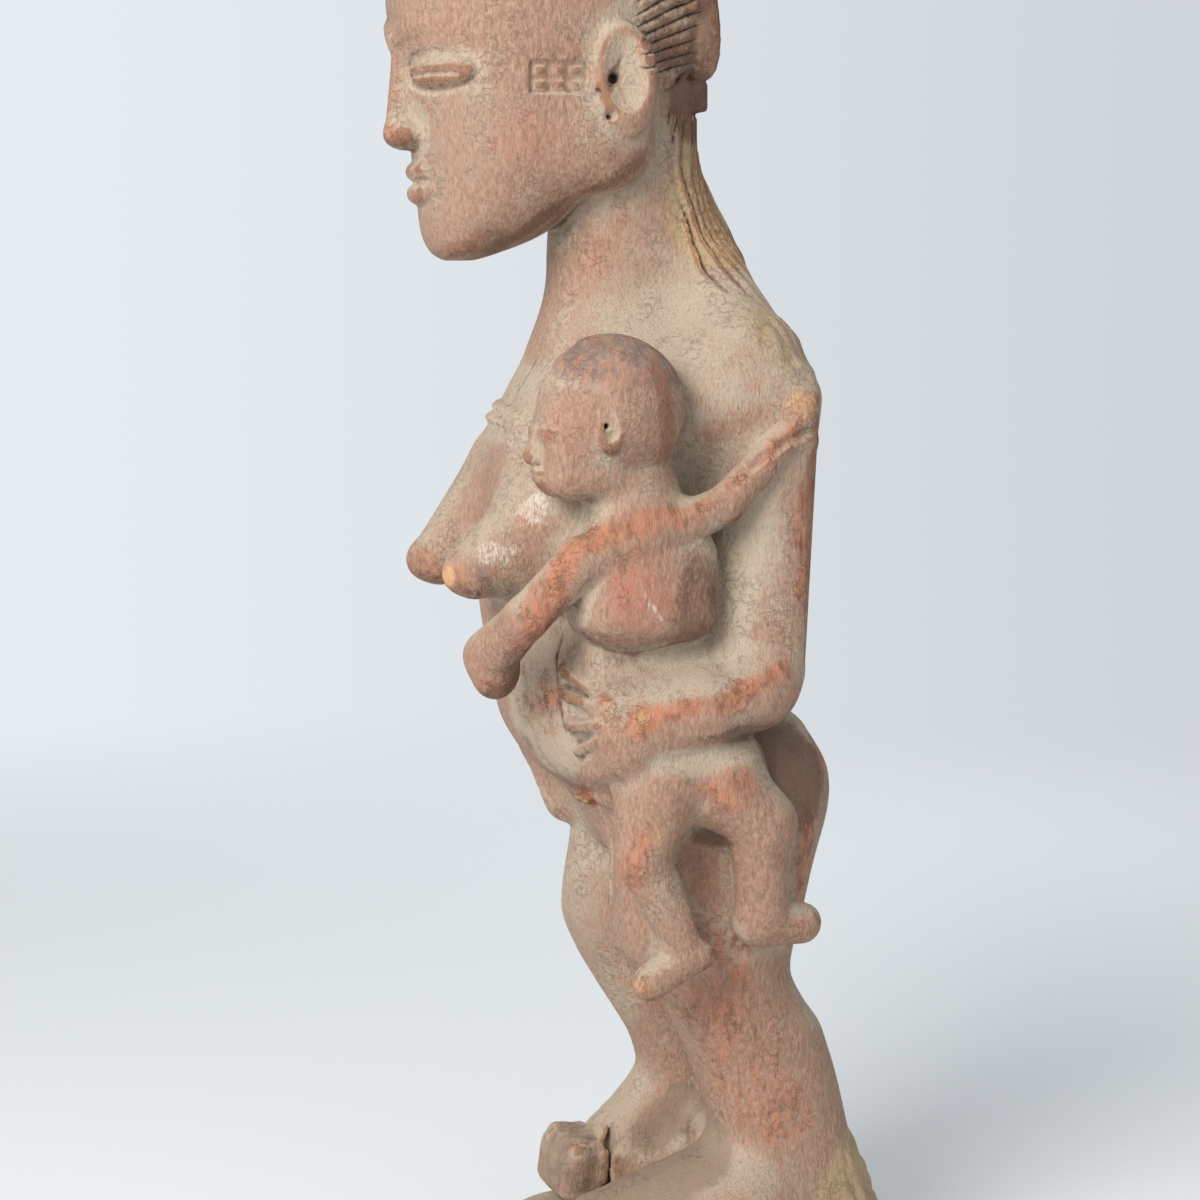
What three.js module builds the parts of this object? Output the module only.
// A standing mother who carries a child on her left hip, carved from one block of wood
// together with the low base under her feet. Millimetres, +Z up, her face toward -Y, the
// child on her left side, +X. The origin is at the middle of the underside.
//
// The carving is described as rounded forms that are laid on, cut away or modelled in relief.
// Each form gives the signed distance from a point to its own surface, negative inside it.
// The forms are gathered on a grid of samples, a skin is laid where the gathered distance is
// zero, and the skin is thinned to few triangles where the wood is plain.

import * as THREE from 'three';

const { clamp, degToRad } = THREE.MathUtils;
const BOTH_SIDES = [1, -1];

// Sampling and thinning
const GRID_STEP = 2;
const TRIANGLE_COUNT = 9600;
const EMPTY_SPACE = 60;
const REACH_OF_A_FORM = 14;
const LEAST_SHARE = 0.02;
const EVENNESS = 0.002;
const LEAST_TURN = 0.3;
const LEAST_HEIGHT = 0.08;
const GROUND_TOLERANCE = 0.3;

// Where the carving is fine, and how many times more the skin's shape counts there
const FINE_CARVING = [
  { centre: [62, -76, 646], radius: 21, care: 30 },
  { centre: [-62, -76, 646], radius: 21, care: 30 },
  { centre: [0, -88, 645], radius: 90, care: 7 },
  { centre: [94, -65, 466], radius: 48, care: 9 },
  { centre: [76, -64, 320], radius: 34, care: 9 },
  { centre: [24, -90, 472], radius: 60, care: 3 },
];

// A section is its level above the ground, its front edge, its back edge and its half width.
const BASE = {
  centreX: 2,
  squareness: 4,
  roundness: 3,
  blend: 5,
  sections: [
    [-8, -78, 118, 92],
    [12, -78, 118, 92],
    [18, -76, 117, 91],
    [22, -72, 113, 87],
  ],
};

const LEG = {
  offset: 47,
  squareness: 2.3,
  roundness: 8,
  near: [
    [20, 4, 108, 34],
    [62, 14, 99, 33],
    [78, 15, 92, 33],
    [98, 12, 87, 33],
    [118, 6, 82, 34],
    [134, 0, 77, 34],
    [147, -6, 72, 35],
    [160, -14, 63, 35],
    [175, -26, 56, 35],
    [192, -38, 58, 36],
    [215, -40, 64, 37],
    [240, -39, 69, 38],
    [285, -40, 73, 37],
    [305, -36, 58, 34],
  ],
  far: [
    [20, 0, 108, 34],
    [62, 6, 98, 33],
    [78, 5, 92, 33],
    [95, 3, 87, 33],
    [118, -3, 81, 34],
    [132, -11, 76, 34],
    [151, -23, 67, 35],
    [172, -35, 57, 35],
    [190, -42, 58, 36],
    [204, -42, 62, 37],
    [240, -37, 70, 38],
    [285, -40, 73, 37],
    [305, -36, 58, 34],
  ],
};

const FOOT = {
  nearHeel: [50, 24, 46],
  nearToes: [51, -48, 37],
  nearRadii: [38, 23],
  farHeel: [-50, 34, 44],
  farInstep: [-54, -12, 42],
  farRadii: [36, 24],
  farAnkle: [-50, 12, 82],
  farArch: [-52, -11, 58],
  farArchRadii: [18, 16],
  brokenToes: [-54, -33.5, 44.5],
  brokenToesHalf: [24, 15.5, 18],
  brokenToesTurn: [-8, 6, 8],
  brokenToesEdge: 9,
  fissure: [-31, -20, 50],
  fissureHalf: [11, 1.8, 20],
  fissureTurn: [-8, 0, 6],
  roughHeelTop: [46, 80, 66],
  roughHeelFoot: [44, 88, 34],
  roughHeelRadii: [16, 21],
  firstToeGap: 33,
  toeSpacing: 11,
  toeGroove: 3.2,
};

const TORSO = {
  squareness: 2.4,
  roundness: 4,
  sections: [
    [236, -32, 56, 74],
    [250, -40, 64, 80],
    [262, -46, 70, 84],
    [274, -56, 72, 85],
    [284, -70, 72, 84],
    [297, -80, 66, 82],
    [308, -86, 59, 79],
    [322, -90, 52, 76],
    [345, -94, 45, 73],
    [368, -98, 43, 73],
    [400, -100, 46, 76],
    [430, -99, 50, 80],
    [460, -93, 54, 82],
    [482, -84, 57, 78],
    [500, -75, 59, 69],
    [516, -69, 58, 58],
    [530, -63, 52, 47],
    [550, -54, 34, 33],
  ],
  shoulder: [66, 17, 482],
  shoulderRadii: [36, 46, 36],
  buttock: [42, 33, 272],
  buttockRadii: [41, 41, 50],
};

const BREAST = {
  root: [38, -72, 421],
  end: [40, -116, 394],
  nipple: [41, -121, 392.5],
  rootRadius: 29,
  endRadius: 13.5,
  nippleRadius: 10.5,
  underRoot: [38, -84, 398],
  underEnd: [40, -111, 393.5],
  underRadii: [22, 13],
  farForward: 1,
  farRootRise: 10,
  farRootExtra: 2.5,
};

const BUTTOCK_CLEFT = {
  top: [0, 82, 322],
  foot: [0, 80, 236],
  radii: [5, 11],
};

const BAND = {
  braid: [
    [-82, -40, 476],
    [-66, -70, 475],
    [-34, -88, 474],
    [0, -92, 473],
    [34, -84, 470],
    [60, -66, 468],
    [78, -42, 466],
  ],
  braidRadius: 9,
  braidRelief: 2.6,
  waist: [
    [-84, 10, 280],
    [-70, -36, 276],
    [-40, -60, 271],
    [0, -62, 269],
    [34, -56, 268],
    [62, -44, 270],
  ],
  waistRadius: 7,
  waistRelief: 3,
  knot: [30, -56, 268],
  knotRadii: [9, 12, 6],
  knotRelief: 3.4,
  apron: [26, -44, 238],
  apronHalf: [12, 12, 28],
  apronRelief: 2.2,
};

const NECK = {
  squareness: 2.2,
  roundness: 4,
  sections: [
    [508, -66, 50, 54],
    [520, -64, 50, 48],
    [532, -63, 47, 44],
    [545, -63, 41, 41],
    [560, -63, 34, 38],
    [575, -62, 29, 37],
    [590, -61, 22, 36],
    [602, -60, 16.5, 36],
    [650, -56, 13, 36],
  ],
  slopeTop: [10, 12, 552],
  slopeFoot: [62, 24, 502],
  slopeRadii: [20, 29],
};

const HEAD = {
  squareness: 2.25,
  roundness: 3,
  sections: [
    [554, -121, -104, 14],
    [558, -126, -92, 24],
    [565, -130, -74, 34],
    [575, -132, -58, 43],
    [590, -133, -42, 51],
    [604, -135, -28, 56],
    [625, -137, -14, 60],
    [645, -141, -6, 62],
    [668, -146, 2, 63],
    [690, -149, 8, 63],
    [706, -147, 10, 61],
    [722, -138, 6, 55],
    [736, -118, -4, 42],
    [746, -90, -26, 24],
  ],
};

// The face is a plain conventional one: eyes at half the head's height, and the brow, the
// base of the nose and the chin a third of the face apart.
const FACE = {
  brow: [
    [4, -146, 666],
    [22, -143, 674],
    [42, -124, 672],
    [58, -96, 660],
  ],
  browRadii: [7, 8, 7.5, 6],
  browRelief: 3.4,
  socket: [32, -131, 650],
  socketRadii: [30, 18, 13],
  eye: [31, -127, 650],
  eyeRadii: [24, 10, 9.5],
  eyeTurn: 26,
  slit: [
    [10, -145, 649],
    [31, -140, 648.5],
    [52, -122, 649],
  ],
  slitRadii: [3, 3.6, 3],
  slitDepth: 2.2,
  noseTop: [0, -141, 664],
  noseEnd: [0, -143, 624],
  noseRadii: [6, 8],
  nostrils: [0, -140, 619],
  nostrilRadii: [17, 12, 8],
  upperLip: [
    [0, -134, 600],
    [12, -133, 600.5],
    [24, -128, 597],
  ],
  upperLipRadii: [5, 4.6, 2.6],
  lowerLip: [
    [0, -133, 588.5],
    [12, -132, 589],
    [23, -128, 592],
  ],
  lowerLipRadii: [5.6, 5, 2.6],
};

const TEMPLE_MARKS = {
  columns: 3,
  rows: 2,
  first: [62, -83.8, 649.7],
  columnSpacing: 9.8,
  rowSpacing: 7.7,
  half: [14, 4.8, 3.8],
  height: 2.8,
};

const EAR = {
  centre: [62, -39.5, 646],
  radii: [9.5, 17, 30],
  hollow: [73, -41, 650],
  hollowRadii: [9.5, 13.5, 23.5],
  lean: 6,
  passage: [-44, 647],
  lobe: [-47.5, 627],
  lobeRadius: 3.4,
  jaw: [42, -48, 616],
  jawRadii: [21, 30, 27],
};

const HAIR = {
  cap: [0, -54, 688],
  capRadii: [67, 97, 63],
  hairline: [0, -24, 692],
  hairlineSlope: [0, -0.42, -1],
  bun: [0, 6, 700],
  bunTurn: [-80, 0, 0],
  bunSquareness: 2.8,
  bunSections: [
    [-86, -50, 34, 58],
    [-60, -53, 46, 59],
    [-34, -53, 49, 56],
    [-10, -51, 50, 50],
    [4, -50, 50, 48],
  ],
  hoopSections: [
    [-6, -54, 53, 51],
    [0, -55, 54, 52],
    [6, -54, 53, 51],
  ],
  bunHollow: [43, 44, 9],
  tail: [14, 12, 640],
  tailHalf: [11, 5.5, 8],
  plaits: 40,
  plaitRelief: 1.5,
  plaitReach: 112,
  plaitStart: 55,
  plaitFade: 30,
};

const ARM = {
  shoulder: [84, 33, 484],
  elbow: [92, 23, 346],
  radius: 16,
  flatness: 1.55,
  outwardTurn: 0.3,
  nearElbow: [95, 28, 336],
  nearForearm: [105, -8, 325],
  nearWrist: [99, -48, 312],
  nearRadii: [17, 14.5, 17],
  webTop: [76, 20, 450],
  webFoot: [78, 12, 322],
  webRadii: [14, 16],
  facet: [88, -15, 333],
  facetHalf: [19, 50, 17],
  facetEdge: 14,
  facetTurn: [0, 56, -12],
  seat: [70, -34, 352],
  seatHalf: [22, 34, 12],
  fold: [62, -48, 340],
  foldRadii: [14, 24, 16],
  farElbow: [-92, 22, 340],
  farForearm: [-86, -24, 304],
  farWrist: [-60, -48, 290],
  farFingers: [-50, -38, 257],
  farRadii: [17, 15, 16, 15],
};

const HAND = {
  palm: [91, -47, 313],
  palmRadii: [14, 17, 25],
  palmTurn: [12, 0, 0],
  back: [80, -50, 318],
  fingerEnd: [62, -62, 321],
  backRadii: [12, 7],
  heel: [97, -51, 301],
  heelEnd: [77, -58.5, 293],
  heelRadii: [11, 8.5],
  fingerRoots: [
    [101, -59.5, 331],
    [104, -60, 325.5],
    [102, -64, 319],
    [101, -63.5, 311],
  ],
  fingerTips: [
    [64, -72.5, 343.5],
    [61, -72, 331],
    [65, -68.7, 314],
    [61, -63.5, 300],
  ],
  fingerRadii: [3.2, 3.6],
};

const CHILD = {
  back: [86, -40, 394],
  backRadii: [33, 40, 42],
  trunk: [86, -38, 390],
  trunkHalf: [29, 36, 30],
  armBand: [
    [94, -101, 374],
    [104, -74, 403],
    [107, -44, 415],
    [107, -17, 423],
    [106, 0, 430],
    [103, 20, 449],
    [99, 37, 466],
    [95, 46, 482],
  ],
  armRadii: [11, 13, 12, 11, 10, 9, 9, 9],
  leftHand: [64, -112, 352],
  leftHandRadius: 14,
  leftFingers: [62, -109, 345],
  leftFingersRadii: [13, 13, 16],
  rightThumb: [98, 45, 462],
  nape: [92, -48, 456],
  neckFoot: [94, -44, 426],
  neckRadii: [22, 26],
  skull: [94, -57, 479.5],
  skullRadii: [35.5, 37, 36],
  jaw: [94, -71, 458],
  jawHalf: [24, 23, 24],
  capThickness: 1.5,
  capEdge: [94, -69, 498],
  capSlope: [0, -0.973, -0.23],
  noseTop: [94, -94, 468],
  noseEnd: [94, -97, 456],
  ear: [124, -65, 470],
  earRadii: [7, 8, 12.5],
  earHollow: [131.5, -66, 472],
  earHollowRadii: [6, 4.8, 8.5],
  hips: [87, -13, 292],
  hipRadii: [26, 42, 30],
  leftThigh: [93, -30, 284],
  leftKnee: [102, -42, 250],
  leftThighRadii: [24, 14],
  leftAnkle: [100, -20, 208],
  leftShinRadii: [13.5, 12.5],
  leftHeel: [101, -12, 200],
  leftToes: [100, -37, 184],
  leftFootRadii: [11, 9.5],
  rightThigh: [94, 4, 284],
  rightKnee: [98, 24, 264],
  rightThighRadii: [24, 17],
  rightAnkle: [96, 25, 216],
  rightShinRadii: [16, 13.5],
  rightHeel: [95, 22, 213.5],
  rightToes: [94, 46.5, 211],
  rightFootRadii: [11, 10.5],
  hollow: [92, -6, 226],
  hollowRadii: [30, 18, 34],
  hollowDepth: 4,
  cleft: [
    [113.5, -12, 279],
    [112, -13, 268],
    [104, -13, 256],
  ],
  cleftRadius: 3.4,
  cleftDepth: 3,
};

const WOOD = { color: 0xb9876a, roughness: 0.82, metalness: 0 };

// Forms

function makeForm(distance, low, high) {
  return { distance, low: new THREE.Vector3(...low), high: new THREE.Vector3(...high) };
}

// The same form standing at a place, after turns about X, Y and Z in degrees
function placed(form, [x0, y0, z0], turns = [0, 0, 0]) {
  const turn = new THREE.Euler(...turns.map(degToRad), 'ZYX');
  const matrix = new THREE.Matrix4().makeRotationFromEuler(turn).setPosition(x0, y0, z0);
  const box = new THREE.Box3(form.low, form.high).applyMatrix4(matrix);
  const [a, b, c, , d, e, f, , g, h, i] = matrix.elements;
  const distance = (x, y, z) => {
    const px = x - x0;
    const py = y - y0;
    const pz = z - z0;
    return form.distance(
      a * px + b * py + c * pz, d * px + e * py + f * pz, g * px + h * py + i * pz);
  };
  return { distance, low: box.min, high: box.max };
}

function ellipsoid(centre, [a, b, c], turns) {
  const distance = (x, y, z) => {
    const scaled = Math.hypot(x / a, y / b, z / c);
    const slope = Math.hypot(x / (a * a), y / (b * b), z / (c * c));
    return (scaled * (scaled - 1)) / Math.max(slope, 1e-6);
  };
  return placed(makeForm(distance, [-a, -b, -c], [a, b, c]), centre, turns);
}

// A tapered rod with round ends. Its section is an ellipse where it is widened by a factor
// along a direction.
function limb(start, end, startRadius, endRadius, wideAlong = null, factor = 1) {
  const from = new THREE.Vector3(...start);
  const to = new THREE.Vector3(...end);
  const run = to.clone().sub(from);
  const lengthSquared = run.lengthSq();
  const wide = new THREE.Vector3();
  if (wideAlong) {
    wide.set(...wideAlong);
    wide.addScaledVector(run, -wide.dot(run) / lengthSquared).normalize();
  }
  const squeeze = 1 - 1 / factor;
  const taper = endRadius - startRadius;
  const reach = Math.max(startRadius, endRadius) * factor;
  const distance = (x, y, z) => {
    let px = x - from.x;
    let py = y - from.y;
    let pz = z - from.z;
    const shift = (px * wide.x + py * wide.y + pz * wide.z) * squeeze;
    px -= wide.x * shift;
    py -= wide.y * shift;
    pz -= wide.z * shift;
    const share = clamp((px * run.x + py * run.y + pz * run.z) / lengthSquared, 0, 1);
    const radius = startRadius + taper * share;
    return Math.hypot(px - share * run.x, py - share * run.y, pz - share * run.z) - radius;
  };
  const low = from.clone().min(to).subScalar(reach);
  const high = from.clone().max(to).addScalar(reach);
  return { distance, low, high };
}

// Rods joined end to end through a row of points
function chain(points, radii) {
  const rods = points.slice(1).map((point, i) => limb(points[i], point, radii[i], radii[i + 1]));
  const distance = (x, y, z) =>
    rods.reduce((nearest, rod) => smoothMin(nearest, rod.distance(x, y, z), 1.5), EMPTY_SPACE);
  const box = new THREE.Box3();
  rods.forEach((rod) => box.expandByPoint(rod.low).expandByPoint(rod.high));
  return { distance, low: box.min, high: box.max };
}

function cord(points, radius) {
  return chain(points, points.map(() => radius));
}

function roundedBlock(centre, half, edge, turns) {
  const [hx, hy, hz] = half.map((size) => size - edge);
  const distance = (x, y, z) => {
    const qx = Math.abs(x) - hx;
    const qy = Math.abs(y) - hy;
    const qz = Math.abs(z) - hz;
    const outside = Math.hypot(Math.max(qx, 0), Math.max(qy, 0), Math.max(qz, 0));
    return outside + Math.min(Math.max(qx, qy, qz), 0) - edge;
  };
  return placed(makeForm(distance, half.map((size) => -size), half), centre, turns);
}

// A cubic through the sections' sizes, whose slope at a section is the mean of the slopes
// of the straight lines to its two neighbours
function sectionCurve(levels, sizes) {
  const slopes = levels.slice(1).map((level, i) => (sizes[i + 1] - sizes[i]) / (level - levels[i]));
  const tangents = levels.map((_, i) => {
    const before = slopes[Math.max(i - 1, 0)];
    const after = slopes[Math.min(i, slopes.length - 1)];
    return (before + after) / 2;
  });
  return (level) => {
    let i = 0;
    while (i < levels.length - 2 && level > levels[i + 1]) {
      i += 1;
    }
    const span = levels[i + 1] - levels[i];
    const u = clamp((level - levels[i]) / span, 0, 1);
    const v = 1 - u;
    return (1 + 2 * u) * v * v * sizes[i] + u * v * v * span * tangents[i]
      + u * u * (3 - 2 * u) * sizes[i + 1] - u * u * v * span * tangents[i + 1];
  };
}

// Oval sections one above another. Squareness 2 is an ellipse and more is squarer, and
// roundness softens the edges at the top and the bottom.
function sectionStack(sections, squareness, roundness, centreX = 0) {
  const columns = sections[0].map((_, column) => sections.map((section) => section[column]));
  const [levels, fronts, backs, halfWidths] = columns;
  const frontAt = sectionCurve(levels, fronts);
  const backAt = sectionCurve(levels, backs);
  const halfWidthAt = sectionCurve(levels, halfWidths);
  const bottom = levels[0];
  const top = levels[levels.length - 1];
  const distance = (x, y, z) => {
    const front = frontAt(z);
    const back = backAt(z);
    const halfDepth = (back - front) / 2;
    const halfWidth = halfWidthAt(z);
    const u = Math.abs(x - centreX) / halfWidth;
    const v = Math.abs(y - (front + back) / 2) / halfDepth;
    const scaled = Math.max((u ** squareness + v ** squareness) ** (1 / squareness), 1e-6);
    const steep = squareness - 1;
    const slope = Math.hypot(u ** steep / halfWidth, v ** steep / halfDepth) / scaled ** steep;
    const side = (scaled - 1) / Math.max(slope, 1e-6);
    return smoothMax(side, Math.max(bottom - z, z - top), roundness);
  };
  const widest = Math.max(...halfWidths) + 2;
  const low = [centreX - widest, Math.min(...fronts) - 2, bottom];
  const high = [centreX + widest, Math.max(...backs) + 2, top];
  return makeForm(distance, low, high);
}

// Everything behind a plane through a point, on the side away from its normal
function behindPlane(point, normal) {
  const out = new THREE.Vector3(...normal).normalize();
  const offset = out.dot(new THREE.Vector3(...point));
  const distance = (x, y, z) => out.x * x + out.y * y + out.z * z - offset;
  return { distance };
}

function shared(form, other, roundness) {
  const distance = (x, y, z) =>
    smoothMax(form.distance(x, y, z), other.distance(x, y, z), roundness);
  return { ...form, distance };
}

function without(form, other, roundness) {
  const distance = (x, y, z) =>
    smoothMax(form.distance(x, y, z), -other.distance(x, y, z), roundness);
  return { ...form, distance };
}

// The smaller of two distances, with the corner between them filled over a blend width
function smoothMin(a, b, blend) {
  const overlap = Math.max(blend - Math.abs(a - b), 0);
  return overlap > 0 ? Math.min(a, b) - (overlap * overlap) / (4 * blend) : Math.min(a, b);
}

function smoothMax(a, b, blend) {
  return -smoothMin(-a, -b, blend);
}

function mirrored([x, y, z], side) {
  return [x * side, y, z];
}

// The carving: the forms in the order in which they are laid on, cut away or modelled
class Carving {
  constructor() {
    this.steps = [];
  }

  add(form, blend = 0) {
    this.record(form, Math.max(REACH_OF_A_FORM, blend), (value, x, y, z) =>
      smoothMin(value, form.distance(x, y, z), blend));
  }

  cut(form, blend = 0) {
    this.record(form, Math.max(REACH_OF_A_FORM, blend), (value, x, y, z) =>
      smoothMax(value, -form.distance(x, y, z), blend));
  }

  // Raises the surface by a height where it lies inside the form, and sinks it where the
  // height is negative, over a soft edge. The height may vary by a pattern.
  relief(form, height, softness, pattern = () => 1) {
    this.record(form, 0, (value, x, y, z) => {
      const share = clamp(-form.distance(x, y, z) / softness, 0, 1);
      return share > 0 ? value - height * share * share * (3 - 2 * share) * pattern(x, y, z) : value;
    });
  }

  record(form, margin, change) {
    const low = form.low.clone().subScalar(margin);
    const high = form.high.clone().addScalar(margin);
    this.steps.push({ low, high, solid: form, change });
  }

  bounds() {
    const box = new THREE.Box3();
    this.steps.forEach(({ solid }) => box.expandByPoint(solid.low).expandByPoint(solid.high));
    return box;
  }
}

// The body parts

function carveBase(carving) {
  const { sections, squareness, roundness, centreX, blend } = BASE;
  carving.add(sectionStack(sections, squareness, roundness, centreX), blend);
}

function carveLegs(carving) {
  const { offset, squareness, roundness, near, far } = LEG;
  carving.add(sectionStack(near, squareness, roundness, offset), 6);
  carving.add(sectionStack(far, squareness, roundness, -offset), 6);
  carving.add(roundedBlock([0, 52, 50], [20, 34, 34], 12), 10);
  const across = [1, 0, 0];
  carving.add(limb(FOOT.nearHeel, FOOT.nearToes, ...FOOT.nearRadii, across, 1.12), 14);
  carving.add(limb(FOOT.farHeel, FOOT.farInstep, ...FOOT.farRadii, across, 1.12), 12);
  carving.add(limb(FOOT.farAnkle, FOOT.farArch, ...FOOT.farArchRadii, across, 1.3), 8);
  const { brokenToes, brokenToesHalf, brokenToesEdge, brokenToesTurn } = FOOT;
  carving.add(roundedBlock(brokenToes, brokenToesHalf, brokenToesEdge, brokenToesTurn), 3);
  carving.cut(roundedBlock(FOOT.fissure, FOOT.fissureHalf, 1, FOOT.fissureTurn), 1);
  for (const side of BOTH_SIDES) {
    const top = mirrored(FOOT.roughHeelTop, side);
    const foot = mirrored(FOOT.roughHeelFoot, side);
    carving.add(limb(top, foot, ...FOOT.roughHeelRadii, across, 1.5), 8);
  }
  for (let gap = 0; gap < 4; gap += 1) {
    const x = FOOT.firstToeGap + FOOT.toeSpacing * gap;
    const groove = [[x, -76, 20], [x, -72, 44], [x + 1, -56, 62], [x + 1, -44, 66]];
    carving.relief(cord(groove, FOOT.toeGroove), -3.4, 3);
  }
}

function carveTorso(carving) {
  const { sections, squareness, roundness } = TORSO;
  carving.add(sectionStack(sections, squareness, roundness), 8);
  for (const side of BOTH_SIDES) {
    carving.add(ellipsoid(mirrored(TORSO.shoulder, side), TORSO.shoulderRadii, [0, side * 8, 0]), 16);
  }
  for (const side of BOTH_SIDES) {
    carveBreast(carving, side);
  }
  for (const side of BOTH_SIDES) {
    carving.add(ellipsoid(mirrored(TORSO.buttock, side), TORSO.buttockRadii, [-8, 0, 0]), 14);
  }
  carving.cut(limb(BUTTOCK_CLEFT.top, BUTTOCK_CLEFT.foot, ...BUTTOCK_CLEFT.radii), 10);
  carving.relief(limb([0, 60, 500], [0, 48, 330], 12, 10), -4, 10);
  carving.relief(cord(BAND.waist, BAND.waistRadius), BAND.waistRelief, 5);
  carving.relief(ellipsoid(BAND.knot, BAND.knotRadii), BAND.knotRelief, 4);
  carving.relief(roundedBlock(BAND.apron, BAND.apronHalf, 3), BAND.apronRelief, 2.5);
  carving.relief(cord(BAND.braid, BAND.braidRadius), BAND.braidRelief, 5);
}

function carveBreast(carving, side) {
  const far = side < 0 ? 1 : 0;
  const shifted = ([x, y, z], rise) => [x * side, y - far * BREAST.farForward, z + far * rise];
  const root = shifted(BREAST.root, BREAST.farRootRise);
  const end = shifted(BREAST.end, 0);
  const rootRadius = BREAST.rootRadius + far * BREAST.farRootExtra;
  carving.add(limb(root, end, rootRadius, BREAST.endRadius), 14);
  const under = [BREAST.underRoot, BREAST.underEnd].map((point) => shifted(point, 0));
  carving.add(limb(...under, ...BREAST.underRadii), 8);
  const nipple = shifted(BREAST.nipple, 0);
  carving.add(limb(end, nipple, BREAST.endRadius, BREAST.nippleRadius), 3);
}

function carveNeck(carving) {
  const { sections, squareness, roundness } = NECK;
  carving.add(sectionStack(sections, squareness, roundness), 10);
  for (const side of BOTH_SIDES) {
    const top = mirrored(NECK.slopeTop, side);
    const foot = mirrored(NECK.slopeFoot, side);
    carving.add(limb(top, foot, ...NECK.slopeRadii), 14);
  }
}

function carveHead(carving) {
  const { sections, squareness, roundness } = HEAD;
  carving.add(sectionStack(sections, squareness, roundness), 4);
  for (const side of BOTH_SIDES) {
    carveEye(carving, side);
  }
  carving.add(limb(FACE.noseTop, FACE.noseEnd, ...FACE.noseRadii), 6);
  carving.add(ellipsoid(FACE.nostrils, FACE.nostrilRadii), 4);
  for (const side of BOTH_SIDES) {
    const upperLip = FACE.upperLip.map((point) => mirrored(point, side));
    const lowerLip = FACE.lowerLip.map((point) => mirrored(point, side));
    carving.add(chain(upperLip, FACE.upperLipRadii), 2);
    carving.add(chain(lowerLip, FACE.lowerLipRadii), 2);
    carveTempleMarks(carving, side);
    carveEar(carving, side);
  }
}

function carveEye(carving, side) {
  const turn = [0, 0, side * FACE.eyeTurn];
  const brow = FACE.brow.map((point) => mirrored(point, side));
  const slit = FACE.slit.map((point) => mirrored(point, side));
  carving.relief(chain(brow, FACE.browRadii), FACE.browRelief, 5);
  carving.relief(ellipsoid(mirrored(FACE.socket, side), FACE.socketRadii, turn), -3, 4);
  carving.add(ellipsoid(mirrored(FACE.eye, side), FACE.eyeRadii, turn), 2);
  carving.relief(chain(slit, FACE.slitRadii), -FACE.slitDepth, 2);
}

function carveTempleMarks(carving, side) {
  const [x, y, z] = TEMPLE_MARKS.first;
  const { columns, rows, columnSpacing, rowSpacing, half, height } = TEMPLE_MARKS;
  for (let column = 0; column < columns; column += 1) {
    for (let row = 0; row < rows; row += 1) {
      const centre = [side * x, y + columnSpacing * column, z - rowSpacing * row];
      carving.relief(roundedBlock(centre, half, 0.2), height, 4.2);
    }
  }
}

function carveEar(carving, side) {
  const turn = [EAR.lean, 0, 0];
  const shell = ellipsoid(mirrored(EAR.centre, side), EAR.radii, turn);
  const hollow = ellipsoid(mirrored(EAR.hollow, side), EAR.hollowRadii, turn);
  carving.add(ellipsoid(mirrored(EAR.jaw, side), EAR.jawRadii), 12);
  carving.add(without(shell, hollow, 2), 2);
  carving.cut(limb([side * 54, ...EAR.passage], [side * 70, ...EAR.passage], 3.2, 3.4), 1);
  carving.relief(ellipsoid([side * 64, ...EAR.lobe], [8, EAR.lobeRadius, EAR.lobeRadius]), -3, 2);
}

function carveHair(carving) {
  const { bun, bunTurn, bunSquareness } = HAIR;
  const aboveHairline = behindPlane(HAIR.hairline, HAIR.hairlineSlope);
  const beforeHoop = behindPlane(bun, [0, 0.985, 0.174]);
  const dome = shared(ellipsoid(HAIR.cap, HAIR.capRadii), beforeHoop, 2);
  carving.add(shared(dome, aboveHairline, 3), 2);
  carving.add(placed(sectionStack(HAIR.bunSections, bunSquareness, 1), bun, bunTurn), 5);
  carving.add(placed(sectionStack(HAIR.hoopSections, bunSquareness, 1), bun, bunTurn), 1);
  carving.cut(placed(ellipsoid([0, 0, 10], HAIR.bunHollow), bun, bunTurn), 2);
  carving.add(roundedBlock(HAIR.tail, HAIR.tailHalf, 2), 2);
  const crown = roundedBlock([0, -58, 703], [72, 62, 62], 4);
  carving.relief(shared(crown, aboveHairline, 2), HAIR.plaitRelief, 4, plaitWave);
  const behindEars = shared(
    roundedBlock([0, -14, 672], [70, 17, 26], 4), behindPlane([0, -33, 672], [0, -1, -0.05]), 2);
  carving.relief(behindEars, HAIR.plaitRelief, 3, plaitWave);
}

// Plaits run from the temples and the brow to the hoop, evenly spaced round the hoop, and
// fade out where they draw close together
function plaitWave(x, y, z) {
  const [, bunY, bunZ] = HAIR.bun;
  const reach = HAIR.plaitReach;
  const along = (y - bunY) * 0.87 + (z - bunZ) * 0.5 + reach;
  const across = (z - bunZ) * 0.87 - (y - bunY) * 0.5;
  const fading = clamp((along - HAIR.plaitStart) / HAIR.plaitFade, 0, 1);
  return fading * Math.cos(HAIR.plaits * Math.atan2(x, (across * reach) / Math.max(along, 20)));
}

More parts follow.
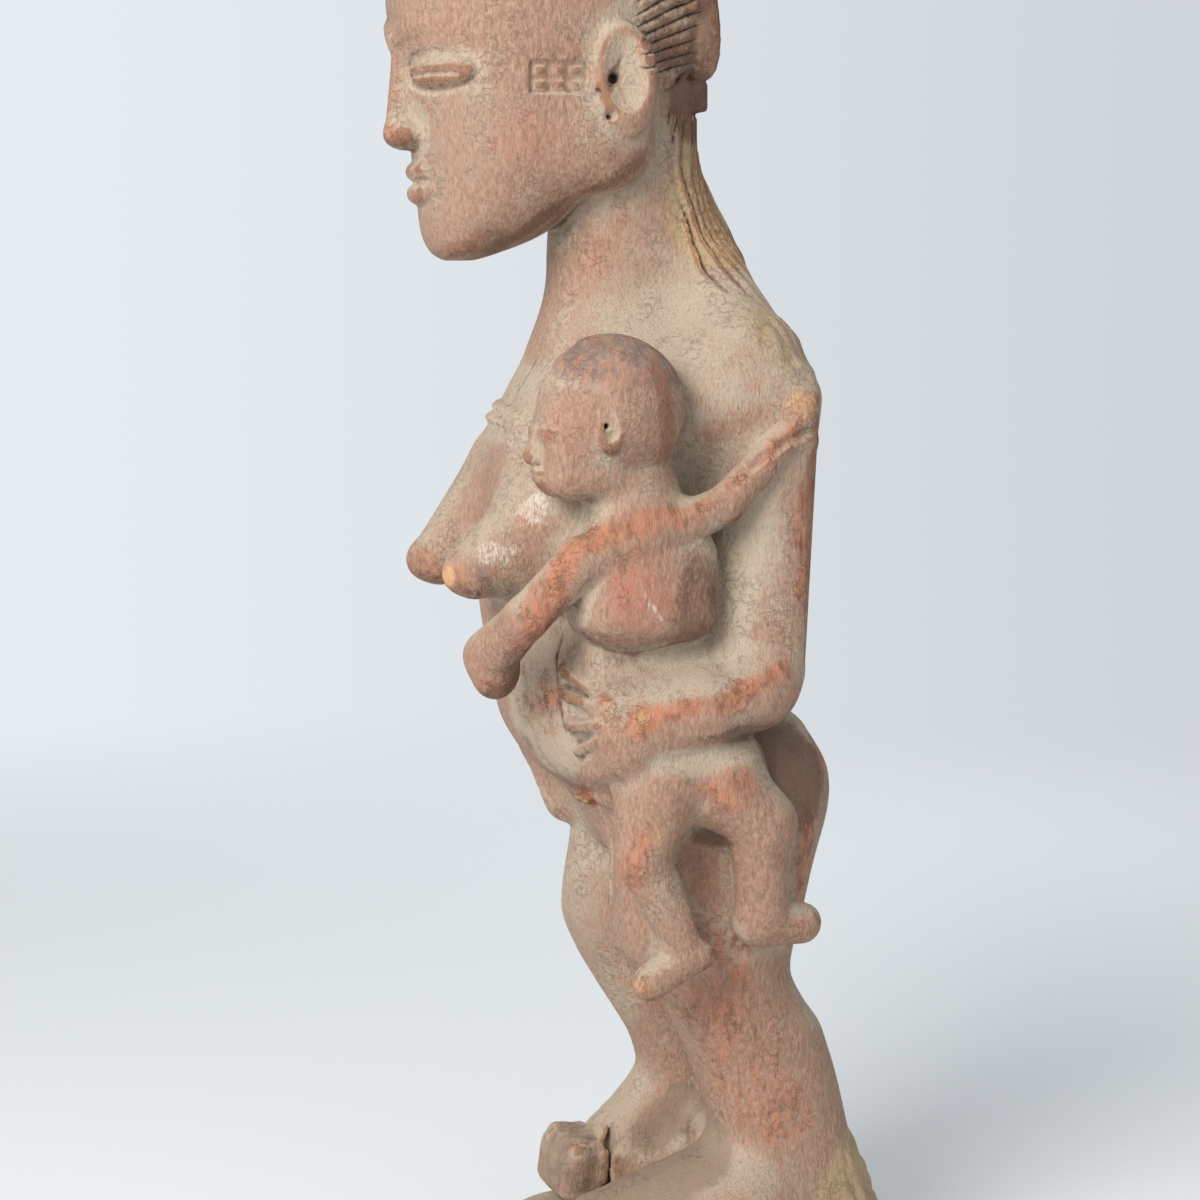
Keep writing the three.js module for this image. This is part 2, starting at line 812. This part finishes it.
function carveArms(carving) {
  for (const side of BOTH_SIDES) {
    const flat = [side * ARM.outwardTurn, 1, 0];
    const shoulder = mirrored(ARM.shoulder, side);
    const elbow = mirrored(ARM.elbow, side);
    carving.add(limb(shoulder, elbow, ARM.radius, ARM.radius, flat, ARM.flatness), 10);
    carving.add(limb(mirrored(ARM.webTop, side), mirrored(ARM.webFoot, side), ...ARM.webRadii), 8);
  }
  const [nearElbow, nearForearm, nearWrist] = ARM.nearRadii;
  carving.add(limb(ARM.nearElbow, ARM.nearForearm, nearElbow, nearForearm), 6);
  carving.add(limb(ARM.nearForearm, ARM.nearWrist, nearForearm, nearWrist, [0, 0, 1], 1.3), 6);
  carving.add(roundedBlock(ARM.facet, ARM.facetHalf, ARM.facetEdge, ARM.facetTurn), 12);
  carving.add(roundedBlock(ARM.seat, ARM.seatHalf, 10), 10);
  carving.add(ellipsoid(ARM.fold, ARM.foldRadii), 10);
  carveNearHand(carving);
  const [farElbow, farForearm, farWrist, farFingers] = ARM.farRadii;
  carving.add(limb(ARM.farElbow, ARM.farForearm, farElbow, farForearm), 8);
  carving.add(limb(ARM.farForearm, ARM.farWrist, farForearm, farWrist), 8);
  carving.add(limb(ARM.farWrist, ARM.farFingers, farWrist, farFingers), 6);
  for (let gap = 0; gap < 3; gap += 1) {
    const x = -64 + 9 * gap;
    const groove = [[x - 2, -64, 282], [x + 2, -54, 262], [x + 3, -44, 246]];
    carving.relief(cord(groove, 2.6), -2.6, 2.4);
  }
}

function carveNearHand(carving) {
  carving.add(ellipsoid(HAND.palm, HAND.palmRadii, HAND.palmTurn), 6);
  carving.add(limb(HAND.back, HAND.fingerEnd, ...HAND.backRadii, [0, 0, 1], 1.5), 6);
  carving.add(limb(HAND.heel, HAND.heelEnd, ...HAND.heelRadii), 4);
  HAND.fingerRoots.forEach((root, i) => {
    carving.add(limb(root, HAND.fingerTips[i], ...HAND.fingerRadii), 1);
  });
}

function carveChild(carving) {
  carving.add(ellipsoid(CHILD.back, CHILD.backRadii), 5);
  carving.add(roundedBlock(CHILD.trunk, CHILD.trunkHalf, 16), 5);
  carving.add(chain(CHILD.armBand, CHILD.armRadii), 3);
  const [leftWrist] = CHILD.armBand;
  carving.add(limb(leftWrist, CHILD.leftHand, CHILD.armRadii[0], CHILD.leftHandRadius), 4);
  carving.add(ellipsoid(CHILD.leftFingers, CHILD.leftFingersRadii), 4);
  carving.add(ellipsoid(CHILD.rightThumb, [8, 8, 9]), 4);
  carving.add(limb(CHILD.nape, CHILD.neckFoot, ...CHILD.neckRadii), 8);
  carveChildHead(carving);
  carving.add(ellipsoid(CHILD.hips, CHILD.hipRadii), 3);
  carving.add(limb(CHILD.leftThigh, CHILD.leftKnee, ...CHILD.leftThighRadii), 5);
  carving.add(limb(CHILD.leftKnee, CHILD.leftAnkle, ...CHILD.leftShinRadii), 4);
  carving.add(limb(CHILD.leftHeel, CHILD.leftToes, ...CHILD.leftFootRadii), 4);
  carving.add(limb(CHILD.rightThigh, CHILD.rightKnee, ...CHILD.rightThighRadii), 5);
  carving.add(limb(CHILD.rightKnee, CHILD.rightAnkle, ...CHILD.rightShinRadii), 9);
  carving.add(limb(CHILD.rightHeel, CHILD.rightToes, ...CHILD.rightFootRadii), 4);
  carving.relief(ellipsoid(CHILD.hollow, CHILD.hollowRadii), -CHILD.hollowDepth, 10);
  carving.relief(cord(CHILD.cleft, CHILD.cleftRadius), -CHILD.cleftDepth, 3);
}

function carveChildHead(carving) {
  const [x] = CHILD.skull;
  carving.add(ellipsoid(CHILD.skull, CHILD.skullRadii), 2);
  carving.add(roundedBlock(CHILD.jaw, CHILD.jawHalf, 13), 6);
  carving.add(limb(CHILD.noseTop, CHILD.noseEnd, 3.5, 5), 3);
  for (const side of BOTH_SIDES) {
    carving.relief(ellipsoid([x + side * 13, -93, 467], [9, 6, 4.5]), 1.6, 2.5);
  }
  carving.relief(ellipsoid([x, -94, 446], [14, 6, 6]), 2.4, 3);
  carving.relief(cord([[x - 12, -95, 446], [x, -98, 446], [x + 12, -95, 446]], 2.4), -2.4, 1.6);
  const shell = ellipsoid(CHILD.ear, CHILD.earRadii);
  carving.add(without(shell, ellipsoid(CHILD.earHollow, CHILD.earHollowRadii), 1), 1.5);
  const capRadii = CHILD.skullRadii.map((radius) => radius + CHILD.capThickness);
  const cap = shared(
    ellipsoid(CHILD.skull, capRadii), behindPlane(CHILD.capEdge, CHILD.capSlope), 1);
  carving.add(cap, 1);
}

// The gathered distance of the whole carving at every node of a grid. The underside is
// planed flat at the ground.
function sampleCarving(carving, step) {
  const box = carving.bounds().expandByScalar(3 * step);
  const low = box.min.clone().divideScalar(step).floor().multiplyScalar(step);
  const size = box.max.clone().sub(low).divideScalar(step).ceil().addScalar(1);
  const [nx, ny, nz] = size.toArray();
  const values = new Float32Array(nx * ny * nz).fill(EMPTY_SPACE);
  const range = (from, to, axis, count) => [
    clamp(Math.floor((from - low[axis]) / step), 0, count),
    clamp(Math.ceil((to - low[axis]) / step) + 1, 0, count),
  ];
  const visit = (lowCorner, highCorner, change) => {
    const [x0, x1] = range(lowCorner.x, highCorner.x, 'x', nx);
    const [y0, y1] = range(lowCorner.y, highCorner.y, 'y', ny);
    const [z0, z1] = range(lowCorner.z, highCorner.z, 'z', nz);
    for (let i = x0; i < x1; i += 1) {
      const x = low.x + i * step;
      for (let j = y0; j < y1; j += 1) {
        const y = low.y + j * step;
        for (let k = z0; k < z1; k += 1) {
          const index = (i * ny + j) * nz + k;
          values[index] = change(values[index], x, y, low.z + k * step);
        }
      }
    }
  };
  carving.steps.forEach((item) => visit(item.low, item.high, item.change));
  const ground = box.max.clone().setZ(1);
  visit(box.min, ground, (value, x, y, z) => Math.max(value, -z));
  return { values, low, step, nx, ny, nz };
}

// Laying the skin. A cube of the grid has a corner for each number from 0 to 7, whose bits
// are its steps along X, Y and Z.

const AXIS_BITS = [1, 2, 4];
const CUBE_EDGES = [0, 1, 2, 3, 4, 5, 6, 7].flatMap((corner) =>
  AXIS_BITS.filter((bit) => !(corner & bit)).map((bit) => [corner, corner + bit]));

function cubeCorners(ny, nz) {
  return [0, 1, 2, 3, 4, 5, 6, 7].map(
    (corner) => (corner & 1) * ny * nz + ((corner >> 1) & 1) * nz + (corner >> 2));
}

// The corner of a cube to fill where its inside corners face each other only across a
// diagonal, so that the skin would touch itself there, or -1 where all is well
function cornerToFill(mask) {
  const inside = (corner) => ((mask >> corner) & 1) === 1;
  for (const [u, v, w] of [[1, 2, 4], [2, 4, 1], [4, 1, 2]]) {
    for (const first of [0, w]) {
      const last = first + u + v;
      const ends = inside(first) && inside(last);
      const others = inside(first + u) && inside(first + v);
      if (ends && !inside(first + u) && !inside(first + v)) {
        return first + u;
      }
      if (others && !inside(first) && !inside(last)) {
        return first;
      }
    }
  }
  for (const corner of [0, 1, 2, 3]) {
    const pair = (1 << corner) | (1 << (7 - corner));
    if (mask === pair) {
      return corner ^ 1;
    }
    if (mask === 255 - pair) {
      return corner;
    }
  }
  return -1;
}

function fillTouchingCorners({ values, step, ny, nz }) {
  const corners = cubeCorners(ny, nz);
  const cure = Array.from({ length: 256 }, (_, mask) => cornerToFill(mask));
  const last = values.length - corners[7];
  let filled = -1;
  while (filled !== 0) {
    filled = 0;
    for (let node = 0; node < last; node += 1) {
      const corner = cure[cubeMask(values, node, corners)];
      if (corner >= 0) {
        values[node + corners[corner]] = -0.02 * step;
        filled += 1;
      }
    }
  }
}

function cubeMask(values, node, corners) {
  let mask = 0;
  for (let corner = 0; corner < 8; corner += 1) {
    if (values[node + corners[corner]] < 0) {
      mask |= 1 << corner;
    }
  }
  return mask;
}

// The middle of the crossings on a cube's edges, in steps from its first corner
function middleOfCrossings(values, node, corners) {
  const sum = [0, 0, 0];
  let crossings = 0;
  for (const [start, end] of CUBE_EDGES) {
    const a = values[node + corners[start]];
    const b = values[node + corners[end]];
    if (a < 0 !== b < 0) {
      const share = clamp(a / (a - b), LEAST_SHARE, 1 - LEAST_SHARE);
      AXIS_BITS.forEach((bit, axis) => {
        const from = start & bit ? 1 : 0;
        const to = end & bit ? 1 : 0;
        sum[axis] += from + share * (to - from);
      });
      crossings += 1;
    }
  }
  return sum.map((value) => value / crossings);
}

// One vertex in each cube that the surface crosses, and one quad, as two triangles, round
// each edge of the grid that it crosses
function laySkin(grid) {
  const { values, low, step, ny, nz } = grid;
  const corners = cubeCorners(ny, nz);
  const strides = AXIS_BITS.map((bit) => corners[bit]);
  const vertexOf = new Int32Array(values.length).fill(-1);
  const points = [];
  const last = values.length - corners[7];
  for (let node = 0; node < last; node += 1) {
    const mask = cubeMask(values, node, corners);
    if (mask > 0 && mask < 255) {
      const [dx, dy, dz] = middleOfCrossings(values, node, corners);
      const i = Math.floor(node / (ny * nz));
      const j = Math.floor(node / nz) % ny;
      const k = node % nz;
      vertexOf[node] = points.length / 3;
      points.push(low.x + (i + dx) * step, low.y + (j + dy) * step, low.z + (k + dz) * step);
    }
  }
  const triangles = [];
  for (let node = corners[7]; node < last; node += 1) {
    for (let axis = 0; axis < 3; axis += 1) {
      const inside = values[node] < 0;
      if (inside !== values[node + strides[axis]] < 0) {
        const across = strides[(axis + 1) % 3];
        const over = strides[(axis + 2) % 3];
        const quad = [node, node - across, node - across - over, node - over];
        addQuad(triangles, points, quad.map((cube) => vertexOf[cube]), inside);
      }
    }
  }
  return { points: Float64Array.from(points), triangles: Int32Array.from(triangles) };
}

// A quad as two triangles, parted along its shorter diagonal
function addQuad(triangles, points, quad, facesForward) {
  const [a, b, c, d] = facesForward ? quad : quad.toReversed();
  const span = (p, q) => Math.hypot(
    points[3 * p] - points[3 * q],
    points[3 * p + 1] - points[3 * q + 1],
    points[3 * p + 2] - points[3 * q + 2]);
  if (span(a, c) < span(b, d)) {
    triangles.push(a, b, c, a, c, d);
  } else {
    triangles.push(a, b, d, b, c, d);
  }
}

// The largest closed body of a skin, without the chips that lie loose beside it and the
// skins of sealed hollows
function largestBody({ points, triangles }) {
  const leader = Int32Array.from({ length: points.length / 3 }, (_, vertex) => vertex);
  const leaderOf = (vertex) => {
    let top = vertex;
    while (leader[top] !== top) {
      leader[top] = leader[leader[top]];
      top = leader[top];
    }
    return top;
  };
  triangles.forEach((vertex, i) => {
    leader[leaderOf(vertex)] = leaderOf(triangles[i - (i % 3)]);
  });
  const sizes = new Map();
  triangles.forEach((vertex) => {
    sizes.set(leaderOf(vertex), (sizes.get(leaderOf(vertex)) ?? 0) + 1);
  });
  const [largest] = [...sizes].reduce((a, b) => (b[1] > a[1] ? b : a));
  return { points, triangles: triangles.filter((vertex) => leaderOf(vertex) === largest) };
}

// Thinning the skin

// Gives back the item of least cost first
class CostQueue {
  constructor() {
    this.heap = [];
  }

  push(item) {
    const { heap } = this;
    let place = heap.length;
    heap.push(item);
    while (place > 0) {
      const parent = (place - 1) >> 1;
      if (heap[parent].cost <= item.cost) {
        break;
      }
      heap[place] = heap[parent];
      place = parent;
    }
    heap[place] = item;
  }

  pop() {
    const { heap } = this;
    const least = heap[0];
    const item = heap.pop();
    let place = 0;
    while (2 * place + 1 < heap.length) {
      let child = 2 * place + 1;
      if (child + 1 < heap.length && heap[child + 1].cost < heap[child].cost) {
        child += 1;
      }
      if (item.cost <= heap[child].cost) {
        break;
      }
      heap[place] = heap[child];
      place = child;
    }
    if (heap.length > 0) {
      heap[place] = item;
    }
    return least;
  }
}

// Draws edges together, the edge whose loss changes the shape least first. A vertex keeps
// the sum of the squared distances to the planes of the triangles that it stands for,
// weighed by their areas, as the ten terms xx xy xz x yy yz y zz z 1 of that sum. A small
// share of the squared distance to its own place keeps the triangles even on flat ground.
class Thinning {
  constructor({ points, triangles }) {
    this.points = points;
    this.triangles = triangles;
    this.count = triangles.length / 3;
    this.terms = new Float64Array((points.length / 3) * 10);
    this.stamps = new Uint32Array(points.length / 3);
    this.around = Array.from({ length: points.length / 3 }, () => []);
    this.queue = new CostQueue();
    for (let triangle = 0; triangle < this.count; triangle += 1) {
      this.weighTriangle(triangle);
    }
    this.around.forEach((_, vertex) => {
      this.neighbours(vertex).forEach((other) => {
        if (vertex < other) {
          this.offer(vertex, other);
        }
      });
    });
  }

  corner(triangle, which) {
    return this.triangles[3 * triangle + which];
  }

  place(vertex) {
    return [this.points[3 * vertex], this.points[3 * vertex + 1], this.points[3 * vertex + 2]];
  }

  weighTriangle(triangle) {
    const vertices = [0, 1, 2].map((which) => this.corner(triangle, which));
    const [a, b, c] = vertices.map((vertex) => this.place(vertex));
    const [x, y, z] = crossOfSides(a, b, c);
    const area = Math.hypot(x, y, z) / 2;
    const [nx, ny, nz] = area > 0 ? [x, y, z].map((value) => value / (2 * area)) : [0, 0, 0];
    const d = -(nx * a[0] + ny * a[1] + nz * a[2]);
    const weight = area * careAt(a);
    const plane = [nx * nx, nx * ny, nx * nz, nx * d, ny * ny, ny * nz, ny * d, nz * nz, nz * d, d * d];
    vertices.forEach((vertex) => {
      const [px, py, pz] = this.place(vertex);
      const own = [1, 0, 0, -px, 1, 0, -py, 1, -pz, px * px + py * py + pz * pz];
      for (let term = 0; term < 10; term += 1) {
        this.terms[10 * vertex + term] += weight * (plane[term] + EVENNESS * own[term]);
      }
      this.around[vertex].push(triangle);
    });
  }

  neighbours(vertex) {
    const found = new Set();
    for (const triangle of this.around[vertex]) {
      found.add(this.corner(triangle, 0)).add(this.corner(triangle, 1)).add(this.corner(triangle, 2));
    }
    found.delete(vertex);
    return found;
  }

  // Puts an edge in the queue with its best meeting point and what it costs
  offer(first, second) {
    const sum = [];
    for (let term = 0; term < 10; term += 1) {
      sum.push(this.terms[10 * first + term] + this.terms[10 * second + term]);
    }
    const point = lowestPoint(sum);
    this.queue.push({
      cost: costAt(sum, point),
      first,
      second,
      point,
      stamp: this.stamps[first] + this.stamps[second],
    });
  }

  isCurrent({ first, second, stamp }) {
    return this.around[first].length > 0 && this.around[second].length > 0
      && this.stamps[first] + this.stamps[second] === stamp;
  }

  // An edge may go where its ends share two neighbours and no triangle turns over
  mayJoin({ first, second, point }) {
    const mine = this.neighbours(first);
    let common = 0;
    this.neighbours(second).forEach((vertex) => {
      common += mine.has(vertex) ? 1 : 0;
    });
    return common === 2 && this.staysUpright(first, second, point)
      && this.staysUpright(second, first, point);
  }

  staysUpright(moved, partner, point) {
    return this.around[moved].every((triangle) => {
      const vertices = [0, 1, 2].map((which) => this.corner(triangle, which));
      if (vertices.includes(partner)) {
        return true;
      }
      const before = vertices.map((vertex) => this.place(vertex));
      const after = vertices.map((vertex, i) => (vertex === moved ? point : before[i]));
      const [ax, ay, az] = crossOfSides(...before);
      const [bx, by, bz] = crossOfSides(...after);
      const size = Math.hypot(ax, ay, az) * Math.hypot(bx, by, bz);
      return ax * bx + ay * by + az * bz > LEAST_TURN * size && isWellShaped(...after);
    });
  }

  join({ first, second, point }) {
    this.points.set(point, 3 * first);
    for (let term = 0; term < 10; term += 1) {
      this.terms[10 * first + term] += this.terms[10 * second + term];
    }
    const gone = new Set(this.around[first].filter((triangle) =>
      this.around[second].includes(triangle)));
    gone.forEach((triangle) => {
      for (const which of [0, 1, 2]) {
        const vertex = this.corner(triangle, which);
        this.around[vertex] = this.around[vertex].filter((other) => other !== triangle);
      }
    });
    this.around[second].forEach((triangle) => {
      for (const which of [0, 1, 2]) {
        if (this.corner(triangle, which) === second) {
          this.triangles[3 * triangle + which] = first;
        }
      }
      this.around[first].push(triangle);
    });
    this.around[second] = [];
    this.count -= gone.size;
    this.stamps[first] += 1;
    this.neighbours(first).forEach((vertex) => this.offer(first, vertex));
  }

  thinTo(count) {
    while (this.count > count && this.queue.heap.length > 0) {
      const edge = this.queue.pop();
      if (this.isCurrent(edge) && this.mayJoin(edge)) {
        this.join(edge);
      }
    }
  }

  toGeometry() {
    const numberOf = new Map();
    const positions = [];
    const index = [];
    this.around.forEach((triangles, vertex) => {
      if (triangles.length > 0) {
        numberOf.set(vertex, numberOf.size);
        positions.push(...this.place(vertex));
      }
    });
    const kept = new Set(this.around.flat());
    kept.forEach((triangle) => {
      index.push(...[0, 1, 2].map((which) => numberOf.get(this.corner(triangle, which))));
    });
    const geometry = new THREE.BufferGeometry();
    geometry.setAttribute('position', new THREE.Float32BufferAttribute(positions, 3));
    geometry.setIndex(index);
    return geometry;
  }
}

function careAt(point) {
  const fine = FINE_CARVING.find(({ centre, radius }) =>
    squaredSpan(point, centre) < radius * radius);
  return fine ? fine.care : 1;
}

function crossOfSides(a, b, c) {
  const ux = b[0] - a[0];
  const uy = b[1] - a[1];
  const uz = b[2] - a[2];
  const vx = c[0] - a[0];
  const vy = c[1] - a[1];
  const vz = c[2] - a[2];
  return [uy * vz - uz * vy, uz * vx - ux * vz, ux * vy - uy * vx];
}

// Whether a triangle's height over its longest side is not too small a share of that side
function isWellShaped(a, b, c) {
  const longest = Math.max(
    squaredSpan(a, b), squaredSpan(b, c), squaredSpan(c, a));
  return Math.hypot(...crossOfSides(a, b, c)) > LEAST_HEIGHT * longest;
}

function squaredSpan(a, b) {
  return (a[0] - b[0]) ** 2 + (a[1] - b[1]) ** 2 + (a[2] - b[2]) ** 2;
}

// The place where a sum of squared distances is least, by Cramer's rule
function lowestPoint([xx, xy, xz, x, yy, yz, y, zz, z]) {
  const a = yy * zz - yz * yz;
  const b = xy * zz - yz * xz;
  const c = xy * yz - yy * xz;
  const whole = xx * a - xy * b + xz * c;
  return [
    -(x * a - xy * (y * zz - yz * z) + xz * (y * yz - yy * z)) / whole,
    -(xx * (y * zz - yz * z) - x * b + xz * (xy * z - y * xz)) / whole,
    -(xx * (yy * z - y * yz) - xy * (xy * z - y * xz) + x * c) / whole,
  ];
}

function costAt([xx, xy, xz, x, yy, yz, y, zz, z, one], [px, py, pz]) {
  return xx * px * px + yy * py * py + zz * pz * pz + one
    + 2 * (xy * px * py + xz * px * pz + yz * py * pz + x * px + y * py + z * pz);
}

// The figure

function carveFigure() {
  const carving = new Carving();
  carveBase(carving);
  carveLegs(carving);
  carveTorso(carving);
  carveNeck(carving);
  carveHead(carving);
  carveHair(carving);
  carveArms(carving);
  carveChild(carving);
  return carving;
}

function makeFigureGeometry() {
  const grid = sampleCarving(carveFigure(), GRID_STEP);
  fillTouchingCorners(grid);
  const thinning = new Thinning(largestBody(laySkin(grid)));
  thinning.thinTo(TRIANGLE_COUNT);
  const geometry = thinning.toGeometry();
  planeUnderside(geometry);
  return geometry;
}

// Brings the vertices that all but touch the ground down to it
function planeUnderside(geometry) {
  const { position } = geometry.attributes;
  for (let i = 0; i < position.count; i += 1) {
    if (Math.abs(position.getZ(i)) < GROUND_TOLERANCE) {
      position.setZ(i, 0);
    }
  }
}

// Moves a geometry so that the middle of its underside is at the origin
function standAtOrigin(geometry) {
  geometry.computeBoundingBox();
  const { min, max } = geometry.boundingBox;
  geometry.translate(-(min.x + max.x) / 2, -(min.y + max.y) / 2, -min.z);
  geometry.computeVertexNormals();
}

function makeFigure() {
  const geometry = makeFigureGeometry();
  standAtOrigin(geometry);
  const figure = new THREE.Mesh(geometry, new THREE.MeshStandardMaterial(WOOD));
  figure.name = 'mother_and_child_figure';
  return figure;
}

const sculpture = new THREE.Group();
sculpture.add(makeFigure());

export default sculpture;
